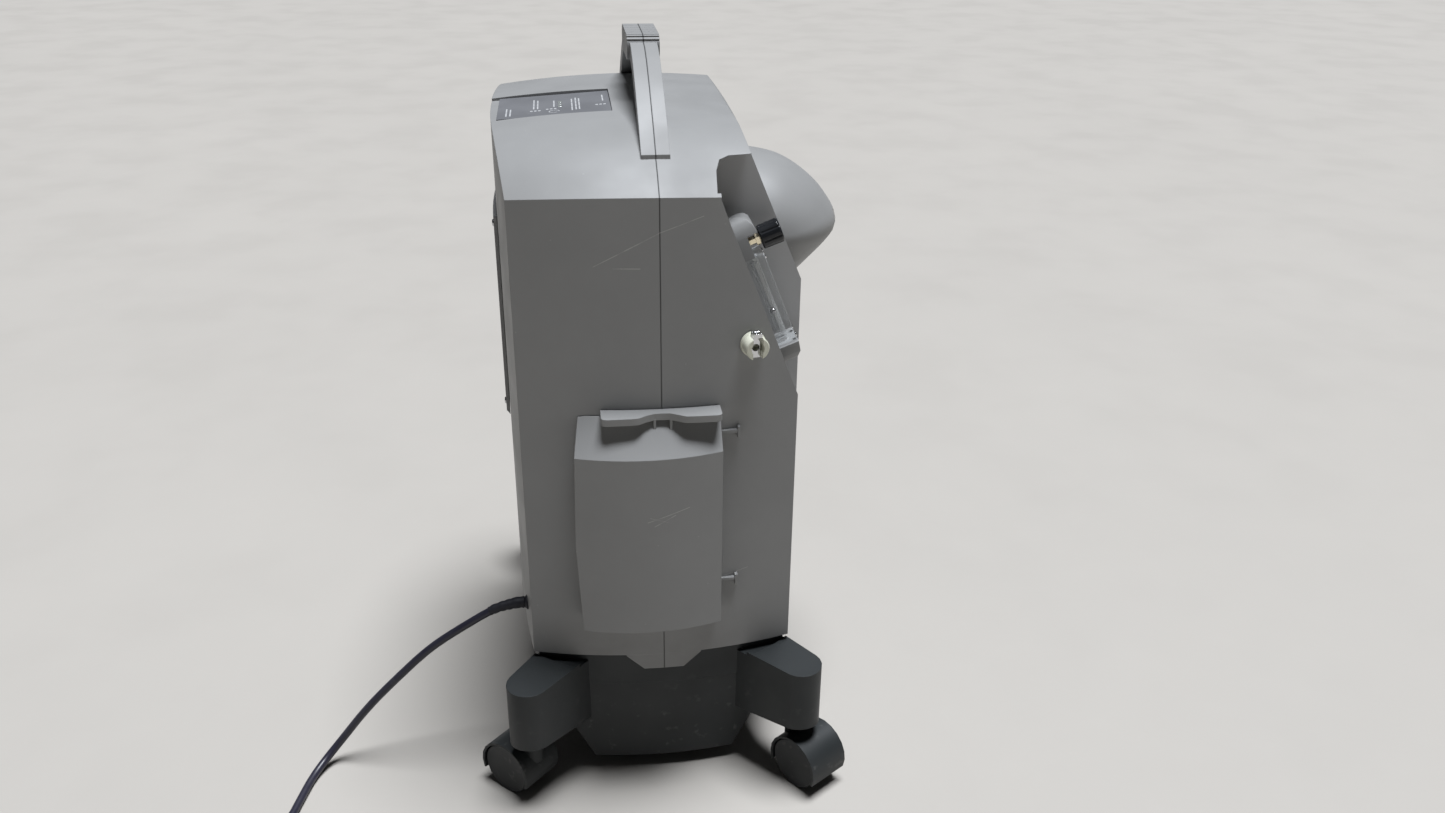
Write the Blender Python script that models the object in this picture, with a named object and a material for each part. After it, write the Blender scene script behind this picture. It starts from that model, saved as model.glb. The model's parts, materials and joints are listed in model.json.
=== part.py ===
"""Stationary oxygen concentrator on casters, modelled in metres with +Z up.

+X points out of the front (display dome), -Y is the side with the filter door and the
oxygen coupling.  All dimensions below are in millimetres and are scaled by MM on the way in.
"""

import math

import bmesh
import bpy
from mathutils import Matrix, Vector

MM = 0.001
CX = -4.2  # the casing's own middle, measured from the middle of the whole footprint
GAP = 0.3

# Casing
HALF_X = 117.5
HALF_Y = 172.0
BOW_SIDE = 17.0
BOW_FRONT = 18.0
BOW_REAR = 14.0
CASE_BOTTOM = 136.0
ROOF = 606.0
WALL = 3.0
SLOPE_X = 118.5
SLOPE_Z = 485.0
SLOPE_RUN = 0.42
SLOPE_BOW = 3.5

# Display dome
DOME_HALF = 80.0

# Handle
HANDLE_HALF = 11.4
GRIP_HALF = 13.8
GRIP_TOP = 659.0
GRIP_BOTTOM = 638.0
GRIP_FLAT = 30.0
GRIP_ROUND = 9.0

# Flowmeter niche, whose floor leans back
LIP_X = 49.0
LIP_Z = 555.0
LEAN = math.atan2(69.0, 173.0)
NICHE_FAR = -120.0
NICHE_TOP = 584.0
NICHE_DEPTH = 7.0
METER_Y = -145.0
METER_END = 144.0

# Base and casters
BASE_TOP = CASE_BOTTOM - GAP
SKIRT_BOTTOM = 15.0
SKIRT_HALF = 86.0
SKIRT_FOOT = 65.0
ARM_TOP = 130.0
ARM_BOTTOM = 66.0
STEM_X = 123.0
STEM_Y = 197.0
TIP_Y = 210.0
WHEEL_R = 25.0
TRAIL = 18.0

# Door
DOOR_RIGHT = 49.5
DOOR_TOP = 378.5
DOOR_BOTTOM = 180.0
HINGE_X = 51.5
HINGE_Y = -192.0

# Mains lead
CORD_D = 7.5
COIL_R = 42.0  # at the middle of its turns, four across and two high
COIL_HALF = 15.0
COIL_AT = (-314.0, -291.0, 0.0)
TAIL_ASIDE = COIL_R + 1.5 * CORD_D
TAIL_START = 29.8
TAIL_END = 70.0


def material(name, rgb, rough, metal=0.0):
    made = bpy.data.materials.new(name)
    made.use_nodes = True
    shader = made.node_tree.nodes["Principled BSDF"]
    shader.inputs["Base Color"].default_value = (*rgb, 1.0)
    shader.inputs["Roughness"].default_value = rough
    shader.inputs["Metallic"].default_value = metal
    return made


def build(name, points, faces, paint=None, origin=(0.0, 0.0, 0.0)):
    """A mesh object from points in millimetres, with its origin at `origin`."""
    at = Vector(origin)
    mesh = bpy.data.meshes.new(name)
    mesh.from_pydata([(Vector(p) - at) * MM for p in points], [], faces)
    obj = bpy.data.objects.new(name, mesh)
    bpy.context.scene.collection.objects.link(obj)
    obj.location = (at + Vector((CX, 0.0, 0.0))) * MM
    tidy(obj)
    if paint:
        mesh.materials.append(paint)
    return obj


def tidy(obj):
    """Welds the mesh, turns its faces outwards and shades it smooth between its edges."""
    soup = bmesh.new()
    soup.from_mesh(obj.data)
    bmesh.ops.remove_doubles(soup, verts=soup.verts, dist=1e-6)
    bmesh.ops.recalc_face_normals(soup, faces=soup.faces)
    soup.to_mesh(obj.data)
    soup.free()
    obj.data.polygons.foreach_set("use_smooth", [True] * len(obj.data.polygons))
    obj.data.set_sharp_from_angle(angle=math.radians(34))
    obj.data.update()


def drop(obj):
    bpy.data.objects.remove(obj)


def boolean(obj, other, operation="DIFFERENCE"):
    """Cuts or joins `other` into `obj` and leaves one plain mesh."""
    step = obj.modifiers.new("step", "BOOLEAN")
    step.operation = operation
    step.solver = "EXACT"
    step.object = other
    bpy.context.view_layer.update()
    graph = bpy.context.evaluated_depsgraph_get()
    made = bpy.data.meshes.new_from_object(obj.evaluated_get(graph))
    obj.modifiers.clear()
    old = obj.data
    made.name = old.name
    paints = [m for m in old.materials]
    obj.data = made
    made.materials.clear()
    for paint in paints:
        made.materials.append(paint)
    for face in made.polygons:
        face.material_index = 0
    drop(other)
    made.polygons.foreach_set("use_smooth", [True] * len(made.polygons))
    made.set_sharp_from_angle(angle=math.radians(34))
    return obj


def paint_with(obj, paint):
    obj.data.materials.clear()
    obj.data.materials.append(paint)


def rings_solid(name, rings, paint=None, origin=(0.0, 0.0, 0.0), place=None):
    """A closed skin through rings of equal length, capped flat at both ends."""
    count = len(rings[0])
    points = [p for ring in rings for p in ring]
    if place:
        points = [place @ Vector(p) for p in points]
    faces = []
    for i in range(len(rings) - 1):
        for j in range(count):
            k = (j + 1) % count
            faces.append((i * count + j, i * count + k, (i + 1) * count + k, (i + 1) * count + j))
    faces.append(tuple(range(count))[::-1])
    last = (len(rings) - 1) * count
    faces.append(tuple(range(last, last + count)))
    return build(name, points, faces, paint, origin)


def prism(name, outline, low, high, axis="Z", paint=None, origin=(0.0, 0.0, 0.0), place=None):
    """An outline in the plane across `axis`, drawn out from `low` to `high` along it."""
    def put(a, b, c):
        return {"Z": (a, b, c), "Y": (a, c, b), "X": (c, a, b)}[axis]
    rings = [[put(a, b, level) for a, b in outline] for level in (low, high)]
    return rings_solid(name, rings, paint, origin, place)


def box(name, low, high, paint=None, origin=(0.0, 0.0, 0.0), place=None):
    outline = [(low[0], low[1]), (high[0], low[1]), (high[0], high[1]), (low[0], high[1])]
    return prism(name, outline, low[2], high[2], "Z", paint, origin, place)


def rounded(half_a, half_b, radius, steps=4, mid=(0.0, 0.0)):
    """The outline of a rectangle with rounded corners."""
    out = []
    for quarter, (sa, sb) in enumerate(((1, 1), (-1, 1), (-1, -1), (1, -1))):
        for i in range(steps + 1):
            turn = math.pi / 2 * (quarter + i / steps)
            out.append((mid[0] + sa * (half_a - radius) + radius * math.cos(turn),
                        mid[1] + sb * (half_b - radius) + radius * math.sin(turn)))
    return out


def turned(name, profile, steps, place=None, paint=None, origin=(0.0, 0.0, 0.0)):
    """A solid turned round its own Z axis; the profile runs (radius, height), axis to axis or as a loop."""
    points = []
    faces = []
    rows = []
    for radius, height in profile:
        if radius < 1e-6:
            rows.append([len(points)] * steps)
            points.append((0.0, 0.0, height))
            continue
        rows.append([len(points) + k for k in range(steps)])
        for k in range(steps):
            turn = 2 * math.pi * k / steps
            points.append((radius * math.cos(turn), radius * math.sin(turn), height))
    looped = profile[0][0] > 1e-6
    pairs = list(zip(rows, rows[1:])) + ([(rows[-1], rows[0])] if looped else [])
    for one, two in pairs:
        for k in range(steps):
            m = (k + 1) % steps
            corner = []
            for v in (one[k], one[m], two[m], two[k]):
                if v not in corner:
                    corner.append(v)
            if len(corner) > 2:
                faces.append(tuple(corner))
    if place:
        points = [place @ Vector(p) for p in points]
    return build(name, points, faces, paint, origin)


def smooth_line(knots, spacing):
    """A Catmull-Rom line through the knots, with points about `spacing` apart."""
    knots = [Vector(k) for k in knots]
    out = []
    for i in range(len(knots) - 1):
        a, b, c, d = (knots[min(max(k, 0), len(knots) - 1)] for k in (i - 1, i, i + 1, i + 2))
        steps = max(1, round((c - b).length / spacing))
        for k in range(steps):
            t = k / steps
            out.append(0.5 * ((2 * b) + (c - a) * t + (2 * a - 5 * b + 4 * c - d) * t * t
                              + (3 * b - a - 3 * c + d) * t ** 3))
    return out + [knots[-1]]


def along(start, direction, roll=0.0):
    """The placing that takes the Z axis to `direction` through `start`."""
    turn = Vector(direction).normalized().to_track_quat("Z", "Y").to_matrix().to_4x4()
    return Matrix.Translation(Vector(start)) @ turn @ Matrix.Rotation(roll, 4, "Z")


# ---------------------------------------------------------------- casing

def side_y(x, inset=0.0):
    """How far out the casing's side stands at x."""
    share = min(1.0, abs(x) / HALF_X)
    return HALF_Y + BOW_SIDE * (1 - share * share) - inset


def rear_x(y, inset=0.0):
    return -HALF_X - BOW_REAR * (1 - (y / HALF_Y) ** 2) + inset


def front_x(y, inset=0.0):
    return HALF_X + BOW_FRONT * (1 - (y / HALF_Y) ** 2) - inset


def roof_z(x, v):
    """Height of the roof at x and at v of the way from the middle to the side."""
    shoulder = max(0.0, abs(v) - 0.53)
    steep = 152.0 + 0.065 * x - 0.00032 * x * x
    return ROOF - 10.7 * v * v - steep * shoulder * shoulder - x * x / 2200.0


def casing_block(name, inset, bottom):
    """The casing's outside (inset 0) or its hollow, before any cut."""
    across, deep = 14, 20
    half_x, half_y = HALF_X - inset, HALF_Y - inset
    top = []
    for i in range(across + 1):
        u = -1 + 2 * i / across
        bow = BOW_FRONT * u if u > 0 else BOW_REAR * u
        row = []
        for j in range(deep + 1):
            v = -1 + 2 * j / deep
            x = half_x * u + bow * (1 - v * v)
            y = v * (half_y + BOW_SIDE * (1 - u * u))
            row.append((x, y, roof_z(x, v) - inset))
        top.append(row)
    points = [p for row in top for p in row]
    wide = deep + 1
    faces = [
        (i * wide + j, (i + 1) * wide + j, (i + 1) * wide + j + 1, i * wide + j + 1)
        for i in range(across) for j in range(deep)
    ]
    rim = [i * wide for i in range(across + 1)]
    rim += [across * wide + j for j in range(1, wide)]
    rim += [i * wide + deep for i in range(across - 1, -1, -1)]
    rim += [j for j in range(deep - 1, 0, -1)]
    foot = len(points)
    points += [(points[k][0], points[k][1], bottom) for k in rim]
    count = len(rim)
    faces += [(rim[k], foot + k, foot + (k + 1) % count, rim[(k + 1) % count]) for k in range(count)]
    faces.append(tuple(range(foot, foot + count)))
    return build(name, points, faces)


def slope_wedge(name, inset=0.0):
    """Everything in front of the casing's leaning front face and its rounded top edge."""
    shift = inset * math.hypot(1, SLOPE_RUN)

    def at(z):
        return SLOPE_X - (z - SLOPE_Z) * SLOPE_RUN - shift

    crown = ROOF - 2.0 - inset
    outline = [(at(380), 380), (at(crown - 7), crown - 7), (at(crown - 3.5) - 0.6, crown - 3.5),
               (at(crown - 1) - 2.2, crown - 1.2), (at(crown) - 5, crown + 0.6),
               (at(crown) - 9, crown + 1.8), (at(crown) - 9, 760), (260, 760), (260, 380)]
    rings = []
    for k in range(14):
        y = -260 + 40 * k
        bow = SLOPE_BOW * (1 - (y / 150) ** 2)
        rings.append([(x + bow, y, z) for x, z in outline])
    return rings_solid(name, rings)


def niche_point(s, n):
    """(x, z) at s down the niche's lean and n out from the lip's plane."""
    return (LIP_X + s * math.sin(LEAN) + n * math.cos(LEAN),
            LIP_Z - s * math.cos(LEAN) + n * math.sin(LEAN))


def niche_frame(y=METER_Y):
    """Placing whose X runs down the lean, Y across to the far side and Z out of the niche."""
    x, z = niche_point(0, 0)
    down = Vector((math.sin(LEAN), 0, -math.cos(LEAN)))
    out = Vector((math.cos(LEAN), 0, math.sin(LEAN)))
    across = out.cross(down)
    turn = Matrix((down, across, out)).transposed().to_4x4()
    return Matrix.Translation((x, y, z)) @ turn


def niche_cutters(name, grow=0.0):
    """The lip cut through the near side wall, and the channel behind it."""
    run = math.tan(LEAN)
    def profile(depth, crest):
        x0, z0 = niche_point(0, -depth - grow)
        def at(z):
            return x0 + (z0 - z) * run
        head = [(x - grow, z + grow) for x, z in crest]
        return head + [(at(536), 536), (at(250), 250), (280, 250), (280, crest[0][1] + grow)]
    rim = profile(0.0, [(60, NICHE_TOP + 0.2), (52, NICHE_TOP - 1.5), (48.3, NICHE_TOP - 7), (48.4, 558)])
    low = prism(name + "_lip", rim, -260, -HALF_Y + 8, "Y")
    bed = profile(NICHE_DEPTH, [(58, NICHE_TOP), (50, NICHE_TOP - 2), (46.5, NICHE_TOP - 8), (45.3, 560)])
    channel = prism(name + "_floor", bed, -260, NICHE_FAR + grow, "Y")
    plan = [(-40, NICHE_FAR + 20)]
    steps = 10
    for k in range(steps + 1):
        x = -40 + (HALF_X - WALL + 40) * k / steps
        plan.append((x, -side_y(x, WALL) - grow))
    plan += [(200, -HALF_Y + WALL - grow), (200, NICHE_FAR + 20)]
    keep = prism(name + "_plan", plan, 200, 760)
    boolean(channel, keep, "INTERSECT")
    return low, channel


def panel_floor(x):
    """Height of the control panel's bed, which follows the roof down to the rear."""
    return 602.6 + 0.066 * (x + 29)


def panel_pocket(name, grow=0.0):
    """The shallow well in the roof for the control panel, open to the rear edge."""
    outline = [(-170, panel_floor(-170) - grow), (-29 + grow, panel_floor(-29) - grow),
               (-29 + grow, 680), (-170, 680)]
    return prism(name, outline, -72 - grow, 14 + grow, "Y")


def handle_side():
    """The carrying handle seen from the front: an arch across the width."""
    run = [(-152.5, 569), (-152.3, 583.5), (-131, 600), (-96, 623), (-68, 638.5), (-50, 645), (-36, 647)]
    run += [(-y, z) for y, z in reversed(run)]
    half = 6.5
    outer, inner = [], []
    for k, (y, z) in enumerate(run):
        y0, z0 = run[max(0, k - 1)]
        y1, z1 = run[min(len(run) - 1, k + 1)]
        size = math.hypot(y1 - y0, z1 - z0)
        ny, nz = -(z1 - z0) / size, (y1 - y0) / size
        outer.append((y + ny * half, z + nz * half))
        inner.append((y - ny * half, z - nz * half))
    return outer + inner[::-1]


def add_handle(casing):
    """The arch, and its wider grip with finger grooves round both shoulders."""
    boolean(casing, prism("arch", handle_side(), -HANDLE_HALF, HANDLE_HALF, "X"), "UNION")
    grip = []
    for corner, (sy, sz) in enumerate(((1, 1), (-1, 1), (-1, -1), (1, -1))):
        middle = GRIP_TOP - GRIP_ROUND if sz > 0 else GRIP_BOTTOM + GRIP_ROUND
        for k in range(7):
            turn = math.radians(90 * corner + 15 * k)
            grip.append((sy * GRIP_FLAT + GRIP_ROUND * math.cos(turn), middle + GRIP_ROUND * math.sin(turn)))
    boolean(casing, prism("grip", grip, -GRIP_HALF, GRIP_HALF, "X"), "UNION")
    for side in (-1, 1):
        for turn in (8, 32, 56):
            add_groove(casing, side * GRIP_FLAT, side * turn)
    for y in (-18, -6, 6, 18):
        add_groove(casing, y, 0)


def add_groove(casing, y, turn):
    """One finger groove across the grip's top, `turn` degrees round the shoulder that starts at y."""
    middle = Matrix.Translation((0, y, GRIP_TOP - GRIP_ROUND))
    place = middle @ Matrix.Rotation(-math.radians(turn), 4, "X")
    outline = [(-0.5, GRIP_ROUND - 1.4), (0.5, GRIP_ROUND - 1.4), (1.3, GRIP_ROUND + 1), (-1.3, GRIP_ROUND + 1)]
    boolean(casing, prism("groove", outline, -40, 40, "X", place=place))


def tongues(casing):
    """The middle tab under each long side, hanging over the base's skirt."""
    for side in (-1, 1):
        outer = []
        for k in range(9):
            x = -34 + 68 * k / 8
            outer.append((x, side * side_y(x, 0.4)))
        inner = [(x, y - side * 2.6) for x, y in reversed(outer)]
        tab = prism("tab", outer + inner, 120, 140)
        for sx in (-1, 1):
            corner = [(sx * 18, 110), (sx * 18, 120), (sx * 34.5, 135), (sx * 50, 135), (sx * 50, 110)]
            boolean(tab, prism("trim", corner, -260, 260, "Y"))
        boolean(casing, tab, "UNION")


def casing():
    outer = casing_block("casing", 0.0, CASE_BOTTOM)
    boolean(outer, slope_wedge("w0"))
    inner = casing_block("hollow", WALL, CASE_BOTTOM - 40)
    boolean(inner, slope_wedge("w1", WALL))
    for cutter in niche_cutters("n1", WALL):
        boolean(inner, cutter)
    boolean(inner, panel_pocket("p1", WALL))
    boolean(outer, inner)
    for cutter in niche_cutters("n0"):
        boolean(outer, cutter)
    boolean(outer, panel_pocket("p0"))
    add_handle(outer)
    tongues(outer)
    # Air intake behind the door, fan grille, switch, breaker, lead and coupling holes
    boolean(outer, box("intake", (-36, -210, 212), (32, -150, 328)))
    boolean(outer, turned("vent", [(0, -60), (40, -60), (40, 60), (0, 60)], 32,
                          along((-120, 0, 390), (1, 0, 0))))
    boolean(outer, box("switch", (100, -13.3, 380.7), (170, 13.3, 399.3)))
    boolean(outer, turned("breaker", [(0, -20), (6.3, -20), (6.3, 20), (0, 20)], 20,
                          along((rear_x(118), 118, 200), (1, 0, 0))))
    boolean(outer, turned("lead", [(0, -20), (7.3, -20), (7.3, 20), (0, 20)], 20,
                          along((rear_x(-139), -139, 168), (1, 0, 0))))
    boolean(outer, turned("port", [(0, -20), (6.3, -20), (6.3, 20), (0, 20)], 20, coupling_frame()))
    boolean(outer, turned("meter_in", [(0, -30), (4.3, -30), (4.3, 30), (0, 30)], 16,
                          niche_frame() @ Matrix.Translation((52, 0, -NICHE_DEPTH))))
    tidy(outer)
    rear = outer.copy()
    rear.data = outer.data.copy()
    bpy.context.scene.collection.objects.link(rear)
    outer.name, rear.name = "front_shell", "rear_shell"
    boolean(outer, box("back", (-300, -300, 0), (GAP / 2, 300, 800)))
    boolean(rear, box("fore", (-GAP / 2, -300, 0), (300, 300, 800)))
    paint_with(outer, SHELL)
    paint_with(rear, SHELL)


def dome_body(name, half, shrink):
    """The dome's outside, or the same shape drawn in by `shrink`."""
    base = Vector((104.0, 490.0))
    run = [(84, 554), (96, 553), (111, 550.5), (126, 546), (140, 538.5), (153, 529), (164, 518),
           (172.5, 506.5), (178, 497.5), (180, 490), (178, 481.5), (171, 472), (160, 460.5),
           (147, 447.5), (134, 434.5), (122, 422)]
    run = [(p.x, p.y) for p in smooth_line([(x, z, 0) for x, z in run], 6)]
    rings = []
    count = 18
    for k in range(count + 1):
        y = half * math.sin((-1 + 2 * k / count) * math.pi / 2)
        share = max(0.02, 1 - (y / half) ** 2) ** 0.5
        ring = []
        for x, z in run:
            arm = Vector((x, z)) - base
            arm = arm * (1 - shrink / arm.length) * share
            ring.append((base.x + arm.x, y, base.y + arm.y))
        rings.append(ring + [(84, y, 430), (70, y, 500)])
    return rings_solid(name, rings)


def dome():
    """The bulged display cover on the front, and the curved window set into it."""
    cover = dome_body("front_dome", DOME_HALF, 0.0)
    boolean(cover, dome_body("dome_hollow", DOME_HALF - 3.5, 3.0))
    skin = casing_block("skin", -GAP, 100)
    boolean(skin, slope_wedge("skin_front", -GAP))
    boolean(cover, skin)
    largest_piece(cover)
    look = Matrix.Translation((179.0, 0, 492.0)) @ Matrix.Rotation(math.radians(82), 4, "Y")
    pocket = prism("pocket", rounded(8.3, 24, 3), -12, 12, place=look)
    boolean(pocket, dome_body("pocket_bed", DOME_HALF - 1.6, 1.6))
    boolean(cover, pocket)
    paint_with(cover, SHELL)
    pane = prism("display_window", rounded(8, 23.7, 2.8), -12, 12, place=look)
    boolean(pane, dome_body("pane_front", DOME_HALF - 0.3, 0.3), "INTERSECT")
    boolean(pane, dome_body("pane_back", DOME_HALF - 1.3, 1.3))
    largest_piece(pane)
    paint_with(pane, SCREEN)


def largest_piece(obj):
    """Keeps the biggest connected part of a mesh."""
    soup = bmesh.new()
    soup.from_mesh(obj.data)
    left = set(soup.verts)
    groups = []
    while left:
        seed = left.pop()
        group, queue = {seed}, [seed]
        while queue:
            for edge in queue.pop().link_edges:
                for vert in edge.verts:
                    if vert in left:
                        left.discard(vert)
                        group.add(vert)
                        queue.append(vert)
        groups.append(group)
    best = max(groups, key=len)
    bmesh.ops.delete(soup, geom=[v for g in groups if g is not best for v in g], context="VERTS")
    soup.to_mesh(obj.data)
    soup.free()


def rear_panel():
    """The louvred service panel on the rear wall."""
    half, low, high = 62.0, 322.0, 513.0
    rows = 8
    outer = [(rear_x(y) - 3.4, y) for y in (half - 2 * half * k / rows for k in range(rows + 1))]
    inner = [(rear_x(y) - GAP, y) for y in (-half + 2 * half * k / rows for k in range(rows + 1))]
    plate = prism("rear_panel", outer + inner, low, high, paint=SHELL)
    boolean(plate, prism("chamfer", [(-170, low - 10), (-128.5, low - 10), (-128.5, low), (-132.5, low + 6),
                                     (-170, low + 6)], -100, 100, "Y"))
    for k in range(8):
        z = 348 + 12 * k
        boolean(plate, box("louvre", (-150, -44, z - 3), (-110, 44, z + 3)))


def control_panel():
    """Label plate lying on its bed, with a row of lamp windows sunk into it."""
    low, high = GAP, GAP + 1.1
    outline = [(-124.5, panel_floor(-124.5) + low), (-29.4, panel_floor(-29.4) + low),
               (-29.4, panel_floor(-29.4) + high), (-124.5, panel_floor(-124.5) + high)]
    plate = prism("control_panel", outline, -71.6, 13.6, "Y")
    for k in range(3):
        y = -38 + 9 * k
        bed = panel_floor(-72) + high
        boolean(plate, box("lamp", (-74, y - 2, bed - 0.4), (-70, y + 2, bed + 5)))
    paint_with(plate, PANEL)


# ---------------------------------------------------------------- flowmeter, coupling, door

def flowmeter():
    place = niche_frame()
    floor = -NICHE_DEPTH + GAP
    # Surround with a domed cap at each end of a back plate
    outline = []
    for k in range(9):
        turn = math.pi / 2 + math.pi * k / 8
        outline.append((42 + 16 * math.cos(turn), 16 * math.sin(turn)))
    for k in range(9):
        turn = -math.pi / 2 + math.pi * k / 8
        outline.append((METER_END + 3 + 16 * math.cos(turn), 16 * math.sin(turn)))
    shell = prism("flowmeter_bezel", outline, floor, 30, place=place)
    end = METER_END + 19
    crest = [(26, -1), (26.8, 8), (29.5, 13.5), (34, 16.8), (41.3, 18), (41.31, 9), (60.5, 9), (60.5, -2.5)]
    crest += [(METER_END, -2.5), (METER_END + 0.01, 17.5), (end - 9.5, 16), (end - 4, 12.5)]
    crest += [(end - 0.8, 7), (end, -1)]
    crest += [(end + 30, -1), (end + 30, 60), (-10, 60), (-10, -1)]
    boolean(shell, prism("crest", [(s, n) for s, n in crest], -40, 40, "Y", place=place))
    boolean(shell, turned("inlet", [(0, -30), (4.3, -30), (4.3, 30), (0, 30)], 16,
                          place @ Matrix.Translation((52, 0, 0))))
    paint_with(shell, SHELL)
    # Clear block with its tube bore and a slot for the scale
    face = rounded((METER_END - 61.4) / 2, 13.5, 3, 3, ((METER_END + 60.8) / 2, 0))
    block = prism("flowmeter_body", face, -2.2, 17.0, place=place)
    bore = along(place @ Vector((METER_END - 41, -2, 7)), place.to_3x3() @ Vector((1, 0, 0)))
    boolean(block, turned("bore", [(0, -34), (3.4, -34), (3.4, 60), (0, 60)], 18, bore))
    boolean(block, box("slot", (68, 5.0, 6.5), (METER_END - 4, 20, 11.5), place=place))
    paint_with(block, CLEAR)
    box("flowmeter_scale", (68.4, 5.3, 6.8), (METER_END - 4.4, 7.2, 11.2), SCALE, place=place)
    ball = [(0, -2.7)]
    ball += [(2.7 * math.cos(math.radians(a)), 2.7 * math.sin(math.radians(a))) for a in range(-60, 61, 30)]
    ball.append((0, 2.7))
    at = place @ Vector((115.5, -2, 7))
    turned("float_ball", ball, 14, Matrix.Translation(at), STEEL, at)
    # Needle valve: hexagon nut on a stem, and its knob
    stem = place @ Matrix.Translation((51.5, 0, 0))
    nut = turned("valve_nut", [(0, -2.2), (3.7, -2.2), (3.7, 15), (5.9, 15), (5.9, 18.5),
                               (3.2, 18.5), (3.2, 33), (0, 33)], 6, stem, BRASS)
    nut.data.polygons.foreach_set("use_smooth", [False] * len(nut.data.polygons))
    knob = knob_solid("flow_knob", stem)
    paint_with(knob, BLACK_GLOSS)


def knob_solid(name, place):
    """The fluted knob, bored for its stem."""
    outer = [(0.0, 19.0), (9.6, 19.0), (10.2, 19.8), (10.4, 36.0), (9.4, 37.4), (0.0, 37.4)]
    at = place @ Vector((0, 0, 28))
    knob = turned(name, outer, 24, place, origin=at)
    boolean(knob, turned("stem_bore", [(0, 10), (3.6, 10), (3.6, 33.4), (0, 33.4)], 16, place))
    for k in range(8):
        turn = Matrix.Rotation(math.radians(45 * k + 10), 4, "Z")
        flute = turned("flute", [(0, 21), (1.5, 21), (1.5, 42), (0, 42)], 8,
                       place @ turn @ Matrix.Translation((11.1, 0, 0)))
        boolean(knob, flute)
    return knob


COUPLING_X = 75.5
COUPLING_Z = 436.5


def coupling_frame():
    """Placing at the casing's near side, Z pointing out of the wall."""
    lean = 2 * BOW_SIDE * COUPLING_X / HALF_X ** 2
    out = Vector((lean, -1.0, 0)).normalized()
    up = Vector((0, 0, 1))
    right = up.cross(out)
    turn = Matrix((right, up, out)).transposed().to_4x4()
    return Matrix.Translation((COUPLING_X, -side_y(COUPLING_X), COUPLING_Z)) @ turn


def coupling():
    """Quick coupling: a socket between two ivory petals, and its sliding latch plate."""
    place = coupling_frame()
    body = turned("coupling_body", [(0, -14), (5.8, -14), (5.8, 0.6), (10.8, 0.6), (10.8, 3.2), (10, 4),
                                    (10, 14.2), (9.2, 15), (5.6, 15), (5.6, 3.5), (3.0, 2.5), (0, 2.5)],
                  24, place)
    boolean(body, box("latch_slot", (-4.2, -20, 5.8), (4.2, 20, 20), place=place))
    paint_with(body, IVORY)
    at = place @ Vector((0, 9, 8.0))
    plate = prism("coupling_latch", [(-3.9, -9.4), (3.9, -9.4), (3.9, 10), (3.1, 13.4), (-3.1, 13.4), (-3.9, 10)],
                  6.1, 8.9, place=place, origin=at)
    eye = place @ Matrix.Translation((0, -0.6, 0))
    boolean(plate, turned("eye", [(0, 0), (3.2, 0), (3.2, 20), (0, 20)], 18, eye))
    boolean(plate, box("thumb", (-3.5, 9.6, 8.2), (3.5, 13.2, 14.4), place=place), "UNION")
    paint_with(plate, CHROME)


def door_face(x):
    return -216.0 + 0.0027 * (x + 12) ** 2


def door_shape(name, inset):
    """The filter door's block: bowed left edge, bowed face, sloping top."""
    columns = 12
    def ring(z, left, back):
        low, high = left + inset, DOOR_RIGHT - inset
        pts = []
        for k in range(columns + 1):
            x = low + (high - low) * k / columns
            pts.append((x, door_face(x) + inset + back, z))
        pts.append((high, -150, z))
        pts.append((low, -150, z))
        return pts
    rings = [ring(DOOR_BOTTOM + inset, -71.5, 0), ring(265, -75.5, 0),
             ring(350 - 0.4 * inset, -73.5, 0), ring(DOOR_TOP - inset, -69, 24)]
    return rings_solid(name, rings)


def door():
    hinge = (HINGE_X, HINGE_Y, 280)
    body = door_shape("filter_door", 0.0)
    boolean(body, door_shape("door_hollow", 2.6))
    skin = casing_block("door_skin", -0.8, 100)
    boolean(body, skin)
    bar = [(-50.5, -176), (-50.5, -203), (-49, -205.5)]
    for k in range(15):
        x = -46 + 91 * k / 14
        bar.append((x, -206.5 + 8.0 * math.exp(-((x + 1) / 15) ** 4)))
    bar += [(47.5, -205.5), (48.8, -203), (48.8, -176)]
    lip = prism("lip", bar, 378.0, 384.0)
    boolean(lip, casing_block("lip_skin", -0.9, 100))
    boolean(body, lip, "UNION")
    for x in (-6.5, 7.0):
        boolean(body, box("rib", (x - 1, -199, 364), (x + 1, -192.5, 379)), "UNION")
    tidy(body)
    shift_origin(body, hinge)
    paint_with(body, SHELL)
    for name, z in (("hinge_strap_upper", 359.0), ("hinge_strap_lower", 212.0)):
        strap = box(name, (50.6, -188.4, z - 1), (66, -170, z + 1.5))
        boolean(strap, box("strap_end", (64, -188.9, z - 6), (66.5, -170, z + 4.5)), "UNION")
        boolean(strap, casing_block("strap_skin", -GAP, 100))
        paint_with(strap, SHELL)
    pad = box("intake_filter", (-46, -203.5, 204), (41, -189.6, 336), FOAM)
    boolean(pad, casing_block("pad_skin", -GAP, 100))
    paint_with(pad, FOAM)


def shift_origin(obj, origin):
    """Moves an object's origin without moving its mesh."""
    to = (Vector(origin) + Vector((CX, 0, 0))) * MM
    obj.data.transform(Matrix.Translation(obj.location - to))
    obj.location = to


# ---------------------------------------------------------------- electrics

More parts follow.
